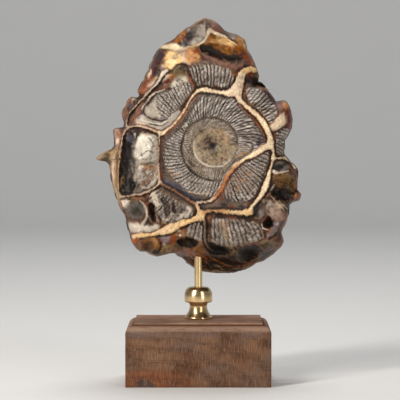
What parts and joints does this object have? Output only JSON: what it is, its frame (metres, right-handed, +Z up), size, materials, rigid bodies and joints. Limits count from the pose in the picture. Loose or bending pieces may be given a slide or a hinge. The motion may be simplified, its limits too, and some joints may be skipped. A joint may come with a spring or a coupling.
{
  "type": "douvilleiceras ammonite fossil",
  "caption": "Upright ammonite fossil with ribbed, opened chambers between cream calcite veins, held by a short brass rod and turned collar above a moulded wooden block.",
  "frame": {"origin": "middle of the wooden block's underside", "axes": "+Z up, along the rod; the fossil's opened face looks towards -Y; +X to the viewer's right"},
  "size_m": [0.1655, 0.08, 0.2918],
  "materials": {
    "stone": "natural, semi-matt",
    "brass": "satin",
    "wood": "weathered, matt"
  },
  "bodies": {
    "root": {"fossil": "stone", "rod": "brass", "collar": "brass", "base": "wood"}
  },
  "joints": []
}
